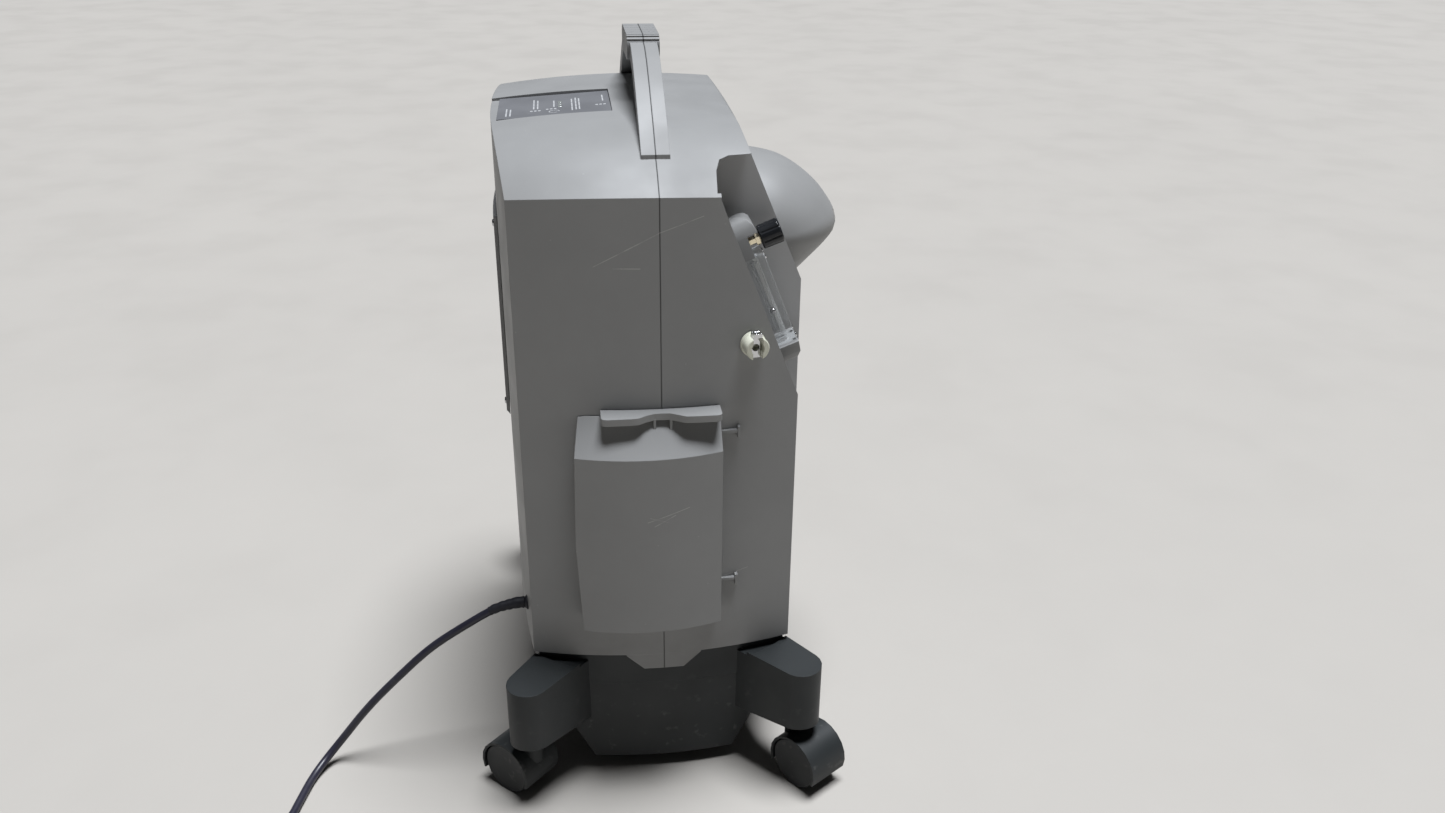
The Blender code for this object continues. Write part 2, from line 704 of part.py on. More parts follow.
def switch_and_breaker():
    x0 = front_x(0)
    frame = prism("switch_frame", rounded(16, 12, 2.5, 3, (0, 390)), x0 + 0.4, x0 + 2.6, "X")
    boolean(frame, box("neck", (x0 - 12, -13, 381), (x0 + 1, 13, 399)), "UNION")
    boolean(frame, box("bore", (x0 - 10, -10.3, 383.3), (x0 + 10, 10.3, 396.7)))
    paint_with(frame, BLACK)
    side = [(x0 - 4, 384.6), (x0 + 1.6, 384.4), (x0 + 2.6, 390), (x0 + 5.0, 395.6), (x0 - 4, 395.4)]
    points = [(x, y, z) for y in (-9.9, 9.9) for x, z in side]
    count = len(side)
    faces = [tuple(range(count))[::-1], tuple(range(count, 2 * count))]
    faces += [(k, (k + 1) % count, count + (k + 1) % count, count + k) for k in range(count)]
    build("power_rocker", points, faces, GREEN, (x0 - 1, 0, 390))
    bx = rear_x(118)
    place = along((bx, 118, 200), (-1, 0, 0))
    flange = [(4.3, -12), (6.0, -12), (6.0, 1.5), (8.5, 1.5), (8.5, 3.5), (4.3, 3.5)]
    body = turned("breaker_body", flange, 20, place)
    paint_with(body, BLACK)
    turned("breaker_button", [(0, -6), (4.0, -6), (4.0, 6), (3.4, 7), (0, 7)], 18, place, WHITE,
           place @ Vector((0, 0, 3)))


CORD_START = (rear_x(-139.0) - 2.9, -139.0, 168.0)


def lead():
    gx = rear_x(-139)
    place = along((gx, -139, 168), (-1, 0, 0))
    stepped = [(0, -7.4), (9.4, -7.4), (9.4, -5.0), (7.0, -5.0), (7.0, 0.4), (5.6, 1.6), (5.2, 2.6), (0, 2.6)]
    gland = turned("cord_gland", stepped, 18, place)
    paint_with(gland, RUBBER)
    cord_curve("mains_lead", lead_points())
    cord_curve("lead_tail", tail_points())
    half = COIL_HALF
    section = [(-half, 4), (-half, 11.5), (3 - half, 15.2), (half - 3, 15.2), (half, 11.5), (half, 4),
               (half - 3, 0.4), (3 - half, 0.4)]
    coil = [(COIL_R + a, b) for a, b in section]
    turned("lead_coil", coil, 28, Matrix.Translation(COIL_AT), CORD)
    plug = plug_frame()
    body = rings_solid("plug_body", [
        [(a * w, b * h, z) for a, b in rounded(1, 1, 0.45, 3)]
        for z, w, h in ((0, 5, 5), (12, 6, 6), (14, 9, 8), (22, 15, 9), (44, 15.5, 9.5), (46, 14.5, 8.8))
    ], RUBBER, place=plug)
    for side in (-1, 1):
        boolean(body, turned("pin_hole", [(0, 38), (2.7, 38), (2.7, 60), (0, 60)], 14,
                             plug @ Matrix.Translation((side * 8.0, 0, 0))))
        turned("plug_pin_" + ("left" if side < 0 else "right"),
               [(0, 38.4), (2.4, 38.4), (2.4, 63), (1.6, 64.5), (0, 64.5)], 14,
               plug @ Matrix.Translation((side * 8.0, 0, 0)), BRASS)


def plug_frame():
    """Plug lying on the floor beside the coil, pins pointing away from it."""
    at = (COIL_AT[0] + TAIL_END + 0.3, COIL_AT[1] - TAIL_ASIDE, 10.4)
    quarter = math.radians(90)
    return Matrix.Translation(at) @ Matrix.Rotation(quarter, 4, "Y") @ Matrix.Rotation(quarter, 4, "Z")


def tail_points():
    """The short stretch that comes down from the coil's top turn to the plug."""
    out = []
    for k in range(9):
        t = k / 8
        ease = t * t * (3 - 2 * t)
        x = COIL_AT[0] + TAIL_START + (TAIL_END - TAIL_START) * t
        out.append(Vector((x, COIL_AT[1] - TAIL_ASIDE, 11.6 - 1.2 * ease)))
    return out


def lead_points():
    """The lead's middle line from the gland down to the floor and on to its coil."""
    knots = [CORD_START, (-133, -139, 167.6), (-150, -139, 163.5), (-176, -139, 149), (-213, -139, 124),
             (-246, -138.5, 93), (-279, -138, 58), (-302, -138.5, 29), (-318, -143, 11), (-329, -159, 4.7),
             (-336, -187, 4.1), (-342, -215, 4.1), (-352.5, -238, 4.1), (-366.8, -260.5, 4.1)]
    return smooth_line(knots, 14)


def cord_curve(name, points):
    curve = bpy.data.curves.new(name, "CURVE")
    curve.dimensions = "3D"
    curve.bevel_depth = CORD_D / 2 * MM
    curve.bevel_resolution = 2
    curve.use_fill_caps = True
    line = curve.splines.new("POLY")
    line.points.add(len(points) - 1)
    for spot, p in zip(line.points, points):
        spot.co = ((p[0] + CX) * MM, p[1] * MM, p[2] * MM, 1.0)
    curve.materials.append(CORD)
    obj = bpy.data.objects.new(name, curve)
    bpy.context.scene.collection.objects.link(obj)


# ---------------------------------------------------------------- base and casters

def plan_outline(inset, half=None):
    """The casing's plan, drawn in by `inset`, optionally only between x = -half and half."""
    out = []
    rows = 8
    wide = half if half else HALF_X - inset
    for side in (-1, 1):
        for k in range(rows + 1):
            x = side * (-wide + 2 * wide * k / rows)
            out.append((x, side * side_y(x, inset)))
        if half:
            continue
        edge = HALF_Y - inset
        for k in range(1, rows):
            y = side * (edge - 2 * edge * k / rows)
            out.append((rear_x(y, inset) if side < 0 else front_x(y, inset), y))
    return out


def skirt(name, inset, top):
    """The tub hanging between the arms, its lower corners cut off at a slant."""
    low = SKIRT_BOTTOM + inset
    block = prism(name, plan_outline(5.0 + inset, SKIRT_HALF - inset), low, top)
    foot, half = SKIRT_FOOT - inset, SKIRT_HALF - inset + 1
    sides = [(-foot, low - 1), (foot, low - 1), (half, 54 + inset), (half, top + 5)]
    sides += [(-half, top + 5), (-half, 54 + inset)]
    return boolean(block, prism("slant", sides, -260, 260, "Y"), "INTERSECT")


def base():
    tub = skirt("base_chassis", 0.0, BASE_TOP)
    boolean(tub, prism("deck", plan_outline(4.2), 101, BASE_TOP - 0.2), "UNION")
    for sx in (-1, 1):
        for sy in (-1, 1):
            boolean(tub, arm(sx, sy), "UNION")
    boolean(tub, skirt("tub_hollow", 4.0, 200))
    boolean(tub, prism("deck_hollow", plan_outline(8.2), 109.5, 200))
    for sx in (-1, 1):
        for sy in (-1, 1):
            boolean(tub, turned("socket", [(0, 30), (5.4, 30), (5.4, 104), (0, 104)], 14,
                                Matrix.Translation((sx * STEM_X, sy * STEM_Y, 0))))
    for k in range(7):
        x = -36 + 12 * k
        boolean(tub, box("inlet_slot", (x - 2, -120, 10), (x + 2, 120, 40)))
    tidy(tub)
    paint_with(tub, BLACK)


def arm(sx, sy):
    """One diagonal outrigger with a rounded end and an underside rising towards it."""
    tip = Vector((STEM_X, TIP_Y))
    inner, outer = Vector((66.0, 176.0)), Vector((111.0, 158.0))
    outline = [Vector((60.0, 120.0)), inner]
    begin = math.atan2(-1.0, 0.86) + math.pi
    stop = math.atan2(-0.53, 0.85)
    for k in range(10):
        turn = begin + (stop - begin) * k / 9
        outline.append(tip + Vector((math.cos(turn), math.sin(turn))) * 19.4)
    outline += [outer, Vector((100.0, 120.0))]
    outline = [(sx * p.x, sy * p.y) for p in outline]
    block = prism("arm", outline, 46, ARM_TOP)
    wedge = [(sy * 232, ARM_BOTTOM + 4), (sy * 120, ARM_BOTTOM - 15), (sy * 120, 20), (sy * 260, 20)]
    wedge.append((sy * 260, ARM_BOTTOM + 4))
    boolean(block, prism("under", wedge, -260, 260, "X"))
    step = [(56, 166), (66, 184), (84, 190), (106, 176), (124, 160), (100, 140)]
    boolean(block, prism("step", [(sx * x, sy * y) for x, y in step], ARM_TOP - 3, ARM_TOP + 20))
    return block


def caster(tag, sx, sy, turn):
    """Twin-wheel caster; `turn` is the way it trails, in degrees from +X."""
    stem = Vector((sx * STEM_X, sy * STEM_Y, 0))
    trail = Vector((math.cos(math.radians(turn)), math.sin(math.radians(turn)), 0))
    hub = stem + trail * TRAIL + Vector((0, 0, WHEEL_R))
    axle = Vector((-trail.y, trail.x, 0))
    # Local frame: X = trail, Y = axle, Z = up
    place = Matrix.Translation(hub) @ Matrix.Rotation(math.radians(turn), 4, "Z")

    def arc(radius, start, stop, steps):
        turns = [math.radians(start + (stop - start) * k / steps) for k in range(steps + 1)]
        return [(radius * math.cos(turn), radius * math.sin(turn)) for turn in turns]

    hood = prism("caster_fork_" + tag, arc(28.2, -20, 200, 12) + arc(25.9, 200, -20, 12),
                 -21.5, 21.5, "Y", place=place)
    web = arc(27, -19, 199, 12) + [(-8, -10), (8, -10)]
    boolean(hood, prism("web", web, -3.0, 3.0, "Y", place=place), "UNION")
    boss = Matrix.Translation(place.inverted() @ (stem + Vector((0, 0, WHEEL_R))))
    neck = turned("boss", [(0, 10), (9.5, 10), (9.5, 35), (8.7, 35.8), (0, 35.8)], 16, place @ boss)
    boolean(neck, prism("round", arc(26.0, 0, 350, 35), -40, 40, "Y", place=place))
    boolean(hood, neck, "UNION")
    boolean(hood, turned("axle", [(0, -17), (3.0, -17), (3.0, 17), (0, 17)], 12,
                         place @ Matrix.Rotation(math.radians(90), 4, "X")), "UNION")
    boolean(hood, turned("stem_hole", [(0, 28.5), (4.3, 28.5), (4.3, 50), (0, 50)], 12, place @ boss))
    tidy(hood)
    shift_origin(hood, stem)
    paint_with(hood, BLACK)
    turned("caster_stem_" + tag, [(0, 53.8), (4.0, 53.8), (4.0, 61.2), (5.1, 62),
           (5.1, 102.5), (4.3, 103.7), (0, 103.7)], 12, Matrix.Translation(stem), STEEL, stem)
    for side, word in ((-1, "a"), (1, "b")):
        rim = [(0, 17.3), (3.3, 17.3), (3.3, 3.6), (24.2, 3.6), (25, 4.4), (25, 18.8), (24.0, 19.8), (21.6, 18.9),
               (0, 18.9)]
        wheel = [(r, side * w) for r, w in rim]
        turned("caster_wheel_" + tag + "_" + word, wheel, 24, place @ Matrix.Rotation(math.radians(-90), 4, "X"),
               TYRE, hub)


# ---------------------------------------------------------------- inside

def insides():
    deck = prism("equipment_deck", plan_outline(8.8), 109.8, 113.5)
    boolean(deck, box("duct", (-30, -40, 100), (30, 40, 130)))
    paint_with(deck, ZINC)
    mid = 70.0
    place = along((0, -56, mid), (0, 1, 0))
    crank = turned("compressor_motor", [(0, 0), (32, 0), (36, 4), (36, 108), (32, 112), (0, 112)], 32, place)
    for y in (-40, 40):
        boolean(crank, box("foot", (-44, y - 10, SKIRT_BOTTOM + 4.3), (44, y + 10, 50)), "UNION")
    paint_with(crank, ALU)
    for word, sy in (("near", -1), ("far", 1)):
        low, high = sorted((sy * 56.4, sy * 112))
        head = box("compressor_head_" + word, (-30, low, 38), (30, high, 104))
        for k in range(5):
            y = sy * (66 + 10 * k)
            boolean(head, box("fin", (-40, y - 2.2, 84), (40, y + 2.2, 120)))
        paint_with(head, ALU)
    for word, y in (("near", -64.0), ("far", 22.0)):
        turned("sieve_bed_" + word, [(0, 113.8), (38, 113.8), (38, 122), (36, 124), (36, 408), (38, 410), (38, 420), (0, 420)],
               32, Matrix.Translation((-52, y, 0)), WHITE)
    turned("product_tank", [(0, 113.8), (24, 113.8), (30, 122), (30, 330), (24, 340), (0, 340)], 28,
           Matrix.Translation((-52, 104, 0)), WHITE)
    manifold = box("valve_manifold", (-74, -80, 420.3), (-30, 38, 446))
    for y in (-58, -26, 6):
        boolean(manifold, turned("solenoid", [(0, 440), (11, 440), (11, 478), (0, 478)], 16,
                                 Matrix.Translation((-52, y, 0))), "UNION")
    paint_with(manifold, ALU)
    board = box("control_board", (92, -62, 113.8), (94, 62, 250))
    for y, z in ((-40, 150), (0, 200), (36, 160)):
        boolean(board, box("chip", (80, y - 12, z - 12), (93, y + 12, z + 12)), "UNION")
    paint_with(board, BOARD)
    turned("product_filter", [(0, 113.8), (20, 113.8), (20, 178), (8, 186), (8, 196), (0, 196)], 24,
           Matrix.Translation((60, -108, 0)), WHITE)
    box("exhaust_muffler", (30, 80, 113.8), (80, 140, 200), FOAM)
    housing = box("fan_housing", (-123.2, -45, 345), (-99, 45, 435))
    boolean(housing, turned("bore", [(0, -40), (42, -40), (42, 6), (0, 6)], 36, along((-112, 0, 390), (1, 0, 0))))
    boolean(housing, turned("eye", [(0, 0), (39, 0), (39, 40), (0, 40)], 36, along((-112, 0, 390), (1, 0, 0))))
    for a in (0, 60, 120):
        slim = a / 400
        strut = box("strut", (-101.6 + slim, -42.5 - slim, -3), (-99.3 - slim, 42.5 + slim, 3))
        strut.data.transform(Matrix.Rotation(math.radians(a), 4, "X"))
        strut.data.transform(Matrix.Translation((0, 0, 390 * MM)))
        boolean(housing, strut, "UNION")
    paint_with(housing, BLACK)
    spin = along((-121, 0, 390), (1, 0, 0))
    rotor = turned("fan_rotor", [(0, 0), (16, 0), (17, 1), (17, 18.5), (0, 18.5)], 28, spin, origin=(-112, 0, 390))
    for k in range(7):
        blade = rings_solid("blade", [
            [(r, -1.2 - 6.0 * t, 3.0), (r, 1.2 - 6.0 * t, 3.0), (r, 1.2 + 7.0 * t, 16.5), (r, -1.2 + 7.0 * t, 16.5)]
            for r, t in ((15, 0.8), (27, 1.0), (37.2, 1.15))
        ], place=spin @ Matrix.Rotation(math.radians(360 * k / 7), 4, "Z"))
        boolean(rotor, blade, "UNION")
    paint_with(rotor, BLACK)


for old in list(bpy.data.objects):
    bpy.data.objects.remove(old)

SHELL = material("shell_plastic", (0.31, 0.312, 0.31), 0.5)
PANEL = material("panel_film", (0.2, 0.2, 0.215), 0.4)
SCREEN = material("display_glass", (0.02, 0.025, 0.03), 0.12)
BLACK = material("black_plastic", (0.03, 0.033, 0.035), 0.5)
BLACK_GLOSS = material("knob_plastic", (0.015, 0.016, 0.018), 0.2)
CLEAR = material("clear_acrylic", (0.62, 0.66, 0.68), 0.08)
SCALE = material("scale_white", (0.85, 0.85, 0.83), 0.5)
STEEL = material("steel", (0.6, 0.6, 0.6), 0.3, 1.0)
BRASS = material("brass", (0.8, 0.62, 0.32), 0.28, 1.0)
CHROME = material("chrome", (0.75, 0.75, 0.76), 0.12, 1.0)
IVORY = material("ivory_plastic", (0.66, 0.66, 0.56), 0.4)
FOAM = material("filter_foam", (0.07, 0.07, 0.075), 0.95)
GREEN = material("rocker_plastic", (0.03, 0.22, 0.09), 0.3)
WHITE = material("white_plastic", (0.75, 0.75, 0.73), 0.4)
RUBBER = material("moulded_rubber", (0.025, 0.025, 0.03), 0.6)
CORD = material("cord_sheath", (0.022, 0.022, 0.03), 0.5)
TYRE = material("caster_tread", (0.04, 0.042, 0.045), 0.55)
ZINC = material("zinc_plate", (0.55, 0.56, 0.58), 0.4, 1.0)
ALU = material("cast_aluminium", (0.6, 0.61, 0.62), 0.45, 1.0)
BOARD = material("circuit_board", (0.02, 0.14, 0.06), 0.5)

casing()
dome()
rear_panel()
control_panel()
flowmeter()
coupling()
door()
switch_and_breaker()
lead()
base()
caster("rear_right", -1, -1, 137.0)
caster("front_right", 1, -1, -55.0)
caster("rear_left", -1, 1, -8.0)
caster("front_left", 1, 1, 55.0)
insides()
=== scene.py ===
"""Looks of the oxygen concentrator: camera, mains lead, finishes, fine details, floor and light."""

import json
import math

import bmesh
import bpy
from mathutils import Matrix, Vector


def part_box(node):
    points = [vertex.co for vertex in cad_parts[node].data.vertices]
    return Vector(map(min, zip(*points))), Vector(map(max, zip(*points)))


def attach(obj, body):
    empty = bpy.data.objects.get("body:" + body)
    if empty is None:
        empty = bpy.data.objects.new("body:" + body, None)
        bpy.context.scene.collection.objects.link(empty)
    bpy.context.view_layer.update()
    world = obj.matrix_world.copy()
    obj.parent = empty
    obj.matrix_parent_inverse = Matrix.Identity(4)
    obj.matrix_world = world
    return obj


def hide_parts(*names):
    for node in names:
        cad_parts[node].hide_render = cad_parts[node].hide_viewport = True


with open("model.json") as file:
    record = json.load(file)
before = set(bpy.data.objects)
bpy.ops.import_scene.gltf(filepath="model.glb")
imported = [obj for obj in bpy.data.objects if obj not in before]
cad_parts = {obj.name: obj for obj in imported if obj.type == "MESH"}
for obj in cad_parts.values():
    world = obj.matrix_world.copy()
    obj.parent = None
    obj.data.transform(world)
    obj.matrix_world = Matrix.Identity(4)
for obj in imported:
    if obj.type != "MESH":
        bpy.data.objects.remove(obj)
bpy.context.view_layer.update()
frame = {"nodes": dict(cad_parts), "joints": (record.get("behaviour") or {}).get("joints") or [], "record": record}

MM = 0.001
NODES = frame["nodes"]
PINS = {joint["name"]: joint for joint in frame["joints"]}

# Camera, fitted to the object's outline
LENS = 30.225
CAMERA_AT = (-0.0767, -1.0898, 0.8166)
CAMERA_DOWN = 25.482
CAMERA_RIGHT = 7.786
CAMERA_ROLL = 0.763

# Mains lead, and which points of its drop are eased at the floor
CORD_D = 0.0075
KNOT_SPACING = 0.014
FLOOR_BEND = (13, 23)

# The lead's coil: its middle and mean radius, how far outside the first turn it starts, and the share of each
# turn in which it shifts to the next
COIL_MID = Vector((-0.3182, -0.291, 0.0))
COIL_TURN = 0.042
COIL_START = 0.0077
COIL_EASE = 0.4
TURN_POINTS = 16
LAST_TURN = 7

# How far the CAD source's own X is from the frame's, in mm
DRAWING_SHIFT = 4.2

# The casing's bowed rear wall, and how far the service panel stands off it
REAR_X = -0.1175
REAR_BOW = 0.014
HALF_WIDTH = 0.172
PANEL_PROUD = 0.0034

# Control panel: its slope, its print's thickness and its first lamp
PANEL_RISE = 0.066
INK = 0.00008
LAMP_X = -0.0762
LAMP_Y = -0.038
LAMP_STEP = 0.009

# How far the flow knob's joint stands out from its slope, in mm
KNOB_OUT = 28.0

# Light, with the overhead's spread in degrees, and base colours, linear
OVERHEAD = 5.45
OVERHEAD_SPREAD = 24
SURROUND = 0.04
SHELL_GREY = (0.26, 0.26, 0.257)
CHARCOAL = (0.0205, 0.0232, 0.024)

# The plane where the casing's two halves meet, and the wall behind the flow knob
SEAM_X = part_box("front_shell")[0].x
NICHE_FAR = -0.12


# ---------------------------------------------------------------- camera

def make_camera():
    down, right, roll = (math.radians(a) for a in (CAMERA_DOWN, CAMERA_RIGHT, CAMERA_ROLL))
    ahead = Vector((math.sin(right) * math.cos(down), math.cos(right) * math.cos(down), -math.sin(down)))
    level = Vector((math.cos(right), -math.sin(right), 0.0))
    above = level.cross(ahead)
    across = math.cos(roll) * level + math.sin(roll) * above
    upward = math.cos(roll) * above - math.sin(roll) * level
    data = bpy.data.cameras.new("camera")
    data.lens = LENS
    data.clip_start = 0.01
    data.clip_end = 200
    camera = bpy.data.objects.new("camera", data)
    bpy.context.scene.collection.objects.link(camera)
    camera.matrix_world = (Matrix.Translation(CAMERA_AT)
                           @ Matrix((across, upward, -ahead)).transposed().to_4x4())
    bpy.context.scene.camera = camera


# ---------------------------------------------------------------- meshes

def mesh_piece(name, soup, paint, body, smooth=40):
    """Turns a bmesh into a piece that rides on `body`, with edges over `smooth` degrees kept sharp."""
    mesh = bpy.data.meshes.new(name)
    bmesh.ops.recalc_face_normals(soup, faces=soup.faces)
    soup.to_mesh(mesh)
    soup.free()
    mesh.polygons.foreach_set("use_smooth", [True] * len(mesh.polygons))
    mesh.set_sharp_from_angle(angle=math.radians(smooth))
    mesh.materials.append(paint)
    piece = bpy.data.objects.new(name, mesh)
    bpy.context.scene.collection.objects.link(piece)
    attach(piece, body)
    return piece


def skin_rings(soup, rings):
    """Adds a closed skin through rings of points, all with the same count."""
    rows = [[soup.verts.new(p) for p in ring] for ring in rings]
    count = len(rows[0])
    for one, two in zip(rows, rows[1:]):
        for k in range(count):
            m = (k + 1) % count
            soup.faces.new((one[k], one[m], two[m], two[k]))
    soup.faces.new(rows[0][::-1])
    soup.faces.new(rows[-1])


def add_turned(soup, place, profile, steps=24):
    """Adds a solid turned round the Z axis of `place`; the profile is (radius, height) in metres."""
    rings = []
    for radius, height in profile:
        ring = [place @ Vector((radius * math.cos(2 * math.pi * k / steps),
                                radius * math.sin(2 * math.pi * k / steps), height)) for k in range(steps)]
        rings.append(ring)
    skin_rings(soup, rings)


def add_tile(soup, place, half_a, half_b, height, round_off=0.3):
    """Adds a low tile with rounded corners and a softened top edge, standing on the XY plane of `place`."""
    rings = []
    softened = min(height * 0.4, half_a * 0.3, half_b * 0.3)
    for shrink, level in ((0.0, 0.0), (0.0, height * 0.6), (softened, height)):
        a, b = half_a - shrink, half_b - shrink
        radius = min(a, b) * round_off
        ring = []
        for quarter, (sa, sb) in enumerate(((1, 1), (-1, 1), (-1, -1), (1, -1))):
            for i in range(4):
                turn = math.pi / 2 * (quarter + i / 3)
                ring.append(place @ Vector((sa * (a - radius) + radius * math.cos(turn),
                                            sb * (b - radius) + radius * math.sin(turn), level)))
        rings.append(ring)
    skin_rings(soup, rings)


# ---------------------------------------------------------------- node materials

class Finish:
    """A Principled material being put together, with short calls for the textures that feed it."""

    def __init__(self, name, colour, rough, **sockets):
        self.material = bpy.data.materials.new(name)
        self.material.use_nodes = True
        self.tree = self.material.node_tree
        self.shader = self.tree.nodes["Principled BSDF"]
        self.shader.inputs["Base Color"].default_value = (*colour, 1.0)
        self.shader.inputs["Roughness"].default_value = rough
        for socket, value in sockets.items():
            self.shader.inputs[socket.replace("_", " ")].default_value = value
        self.place = self.add("ShaderNodeTexCoord").outputs["Object"]
        self.colour = colour
        self.normal = None

    def add(self, kind, **settings):
        node = self.tree.nodes.new(kind)
        for key, value in settings.items():
            setattr(node, key, value)
        return node

    def join(self, source, socket):
        """Feeds a socket from another node's output, or sets it to a plain value."""
        if isinstance(source, bpy.types.NodeSocket):
            self.tree.links.new(source, socket)
        else:
            socket.default_value = source

    def noise(self, size, detail=3.0, stretch=(1, 1, 1)):
        """Noise whose blotches are about `size` metres across."""
        scaled = self.add("ShaderNodeMapping")
        self.join(self.place, scaled.inputs["Vector"])
        scaled.inputs["Scale"].default_value = stretch
        node = self.add("ShaderNodeTexNoise")
        node.inputs["Scale"].default_value = 0.5 / size
        node.inputs["Detail"].default_value = detail
        self.join(scaled.outputs["Vector"], node.inputs["Vector"])
        return node.outputs["Fac"]

    def cells(self, size, feature="F1"):
        node = self.add("ShaderNodeTexVoronoi", feature=feature)
        node.inputs["Scale"].default_value = 1.0 / size
        self.join(self.place, node.inputs["Vector"])
        return node.outputs["Distance"]

    def remap(self, source, low, high, to_low=0.0, to_high=1.0):
        node = self.add("ShaderNodeMapRange", interpolation_type="SMOOTHSTEP")
        self.join(source, node.inputs["Value"])
        for socket, value in zip(("From Min", "From Max", "To Min", "To Max"), (low, high, to_low, to_high)):
            self.join(value, node.inputs[socket])
        return node.outputs["Result"]

    def math(self, operation, *values):
        node = self.add("ShaderNodeMath", operation=operation)
        for value, socket in zip(values, node.inputs):
            self.join(value, socket)
        return node.outputs[0]

    def tint(self, share, colour):
        """Mixes `colour` over what the base colour is so far, by `share`."""
        node = self.add("ShaderNodeMix", data_type="RGBA")
        self.join(share, node.inputs["Factor"])
        before = self.shader.inputs["Base Color"]
        if before.is_linked:
            self.join(before.links[0].from_socket, node.inputs["A"])
        else:
            node.inputs["A"].default_value = before.default_value
        node.inputs["B"].default_value = (*colour, 1.0)
        self.join(node.outputs["Result"], before)

    def vary(self, size, amount, detail=2.0):
        """Shifts the base colour lighter and darker in blotches of `size`."""
        blotch = self.noise(size, detail)
        self.tint(self.remap(blotch, 0.5, 0.75, 0.0, amount), tuple(min(1.0, c * 1.25) for c in self.colour))
        self.tint(self.remap(blotch, 0.5, 0.25, 0.0, amount), tuple(c * 0.75 for c in self.colour))

    def rough(self, source, low, high):
        self.join(self.remap(source, 0.3, 0.7, low, high), self.shader.inputs["Roughness"])

    def soft_edges(self, radius):
        """Rounds the edges that the light sees and returns a mask of them."""
        rounded = self.add("ShaderNodeBevel", samples=4)
        rounded.inputs["Radius"].default_value = radius
        flat = self.add("ShaderNodeNewGeometry").outputs["Normal"]
        dot = self.add("ShaderNodeVectorMath", operation="DOT_PRODUCT")
        self.join(rounded.outputs["Normal"], dot.inputs[0])
        self.join(flat, dot.inputs[1])
        self.normal = rounded.outputs["Normal"]
        self.join(self.normal, self.shader.inputs["Normal"])
        return self.remap(dot.outputs["Value"], 0.995, 0.93)

    def bump(self, height, depth, strength=1.0):
        """Adds relief of `depth` metres on top of whatever relief there is."""
        node = self.add("ShaderNodeBump")
        node.inputs["Strength"].default_value = strength
        node.inputs["Distance"].default_value = depth
        self.join(height, node.inputs["Height"])
        if self.normal:
            self.join(self.normal, node.inputs["Normal"])
        self.normal = node.outputs["Normal"]
        self.join(self.normal, self.shader.inputs["Normal"])

    def scratch(self, start, end, width):
        """A mask along a line drawn in the XZ plane on the near side, wavering and broken as a scratch is."""
        axis = Vector((end[0] - start[0], 0.0, end[1] - start[1]))
        flat = self.add("ShaderNodeVectorMath", operation="MULTIPLY_ADD")
        self.join(self.place, flat.inputs[0])
        flat.inputs[1].default_value = (1, 0, 1)
        flat.inputs[2].default_value = (-start[0], 0, -start[1])
        run = self.add("ShaderNodeVectorMath", operation="DOT_PRODUCT")
        self.join(flat.outputs["Vector"], run.inputs[0])
        run.inputs[1].default_value = axis / axis.length_squared
        share = self.add("ShaderNodeClamp")
        self.join(run.outputs["Value"], share.inputs["Value"])
        nearest = self.add("ShaderNodeVectorMath", operation="SCALE")
        nearest.inputs[0].default_value = axis
        self.join(share.outputs["Result"], nearest.inputs["Scale"])
        away = self.add("ShaderNodeVectorMath", operation="DISTANCE")
        self.join(flat.outputs["Vector"], away.inputs[0])
        self.join(nearest.outputs["Vector"], away.inputs[1])
        line = self.remap(away.outputs["Value"], width, width * 0.3)
        broken = self.remap(self.noise(0.004, 4.0), 0.35, 0.55, 0.25, 1.0)
        near = self.remap(self.place_along("Y"), -0.15, -0.16)
        return self.math("MULTIPLY", self.math("MULTIPLY", line, broken), near)

    def place_along(self, axis):
        node = self.add("ShaderNodeSeparateXYZ")
        self.join(self.place, node.inputs["Vector"])
        return node.outputs[axis]


def moulded(name, colour, rough, grain=0.00045, depth=0.00003, edge=0.0008, edge_wear_and_highlight=0.25, **sockets):
    """Injection moulded plastic: fine spark texture, faint flow blotches, edges painted a little paler, partly as
    rubbing and partly as a painted highlight.
    """
    made = Finish(name, colour, rough, **{"Specular_IOR_Level": 0.35, **sockets})
    edge_mask = made.soft_edges(edge)
    made.vary(0.09, 0.16)
    made.vary(0.008, 0.07, 3.0)
    # Painted highlight with rubbing: the edge mask, broken up by noise, tints the edges paler.
    rubbed_and_highlit = made.math("MULTIPLY", edge_mask, made.remap(made.noise(0.012, 4.0), 0.35, 0.65, 0.3, 1.0))
    made.tint(made.math("MULTIPLY", rubbed_and_highlit, edge_wear_and_highlight), tuple(min(1.0, 0.06 + c * 1.35) for c in colour))
    made.rough(made.noise(0.03), rough - 0.06, rough + 0.08)
    made.bump(made.noise(grain, 2.0), depth)
    return made


def niche_wall_painted_light(made):
    """A mask of the flat wall behind the flow knob, and of the edge where it meets the front, for painted light:
    the wall in its shaded niche is made paler, and the edge gets a painted highlight.
    """
    off_wall = made.math("ABSOLUTE", made.math("SUBTRACT", made.place_along("Y"), NICHE_FAR))
    wall = made.remap(off_wall, 0.003, 0.0015)
    ahead = made.remap(made.place_along("X"), 0.015, 0.03)
    below = made.remap(made.place_along("Z"), 0.587, 0.583)
    above = made.remap(made.place_along("Z"), 0.33, 0.37)
    return made.math("MULTIPLY", made.math("MULTIPLY", wall, ahead), made.math("MULTIPLY", below, above))


